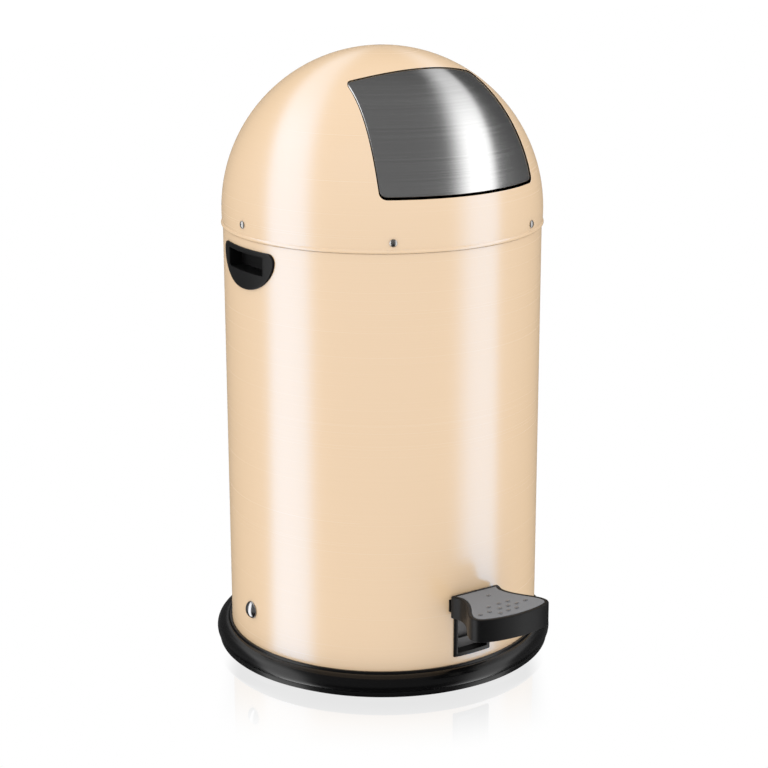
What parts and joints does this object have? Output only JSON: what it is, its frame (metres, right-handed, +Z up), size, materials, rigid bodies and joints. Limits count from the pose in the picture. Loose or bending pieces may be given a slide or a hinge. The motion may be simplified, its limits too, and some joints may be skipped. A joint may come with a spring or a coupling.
{
  "type": "pedal trash can",
  "caption": "Cylindrical pedal trash can with a lift-off dome lid, a brushed steel flap that swings inwards when the pedal is pressed, and a lift-out inner bucket.",
  "frame": {"origin": "centre of the underside of the base ring, on the floor", "axes": "+Z up along the axis of the body, -Y to the front where the pedal and the flap are, +X to the right seen from behind, along the axle and the flap's pivots"},
  "size_m": [0.3692, 0.434, 0.6482],
  "materials": {
    "cream_paint": "glossy almond lacquer over finely brushed sheet",
    "black_gloss_plastic": "glossy moulded",
    "black_satin_plastic": "satin moulded",
    "grey_grip": "soft grey with raised dots",
    "brushed_stainless": "brushed across",
    "bright_chrome": "polished",
    "zinc_plate": "zinc plated",
    "galvanised_sheet": "galvanised, spangled",
    "steel_rod": "bright drawn",
    "steel_screw": "zinc plated",
    "spring_wire": "oil tempered",
    "white_nylon": "natural nylon"
  },
  "bodies": {
    "body": {"base_ring": "black_gloss_plastic", "bottom_plate": "zinc_plate", "base_screws": "steel_screw", "body_shell": "cream_paint", "handle_left": "black_satin_plastic", "handle_right": "black_satin_plastic", "pedal_frame": "black_satin_plastic", "slot_sill": "zinc_plate", "axle": "steel_rod", "axle_cap_nuts": "bright_chrome", "axle_washers": "steel_screw", "axle_lock_nuts": "steel_screw", "bucket_shelf": "zinc_plate", "rod_guides": "white_nylon"},
    "pedal_lever": {"lever_tube": "zinc_plate", "lever_bushes": "white_nylon", "front_arm": "zinc_plate", "rear_arm": "zinc_plate", "shoe_pin": "steel_rod", "lever_shoe": "white_nylon", "slot_shield": "zinc_plate", "pedal": "black_satin_plastic", "pedal_grip": "grey_grip", "pedal_screws": "steel_screw", "return_spring": "spring_wire"},
    "rod": {"push_rod": "steel_rod", "rod_foot": "white_nylon"},
    "dome": {"dome_lid": "cream_paint", "collar_ring": "black_satin_plastic", "dome_screws": "steel_screw", "pivot_screws": "steel_screw"},
    "flap": {"flap_skin": "brushed_stainless", "flap_carrier": "black_satin_plastic", "flap_arm_left": "black_satin_plastic", "flap_arm_right": "black_satin_plastic", "flap_rivets": "steel_screw", "crank_pin": "steel_rod", "pivot_bushes": "white_nylon"},
    "inner_bucket": {"bucket": "galvanised_sheet", "bucket_ears": "galvanised_sheet"},
    "bucket_handle": {"bail": "steel_rod", "bail_grip": "black_satin_plastic"}
  },
  "joints": [
    {"name": "pedal_press", "type": "hinge", "parent": "body", "child": "pedal_lever", "pos_m": [0, 0, 0.0617], "axis": [1, 0, 0], "range_deg": [0, 12], "stiffness_Nm_per_rad": 5, "springref_deg": -14.32},
    {"name": "rod_slide", "type": "slide", "parent": "body", "child": "rod", "axis": [0, 0, 1], "range_m": [0, 0.0125]},
    {"name": "dome_lift", "type": "slide", "parent": "body", "child": "dome", "axis": [0, 0, 1], "range_m": [0, 0.4]},
    {"name": "flap_swing", "type": "hinge", "parent": "dome", "child": "flap", "pos_m": [0, 0, 0.479], "axis": [-1, 0, 0], "range_deg": [0, 54.5]},
    {"name": "bucket_lift", "type": "slide", "parent": "body", "child": "inner_bucket", "axis": [0, 0, 1], "range_m": [0, 0.362]},
    {"name": "bail_swing", "type": "hinge", "parent": "inner_bucket", "child": "bucket_handle", "pos_m": [0, 0, 0.4605], "axis": [1, 0, 0], "range_deg": [0, 180]}
  ],
  "couplings": [
    {"joint": "rod_slide", "follows": "pedal_press", "m_per_rad": 0.0577},
    {"joint": "flap_swing", "follows": "pedal_press", "ratio": 4.5},
    {"joint": "bucket_lift", "follows": "dome_lift", "ratio": 0.9}
  ]
}
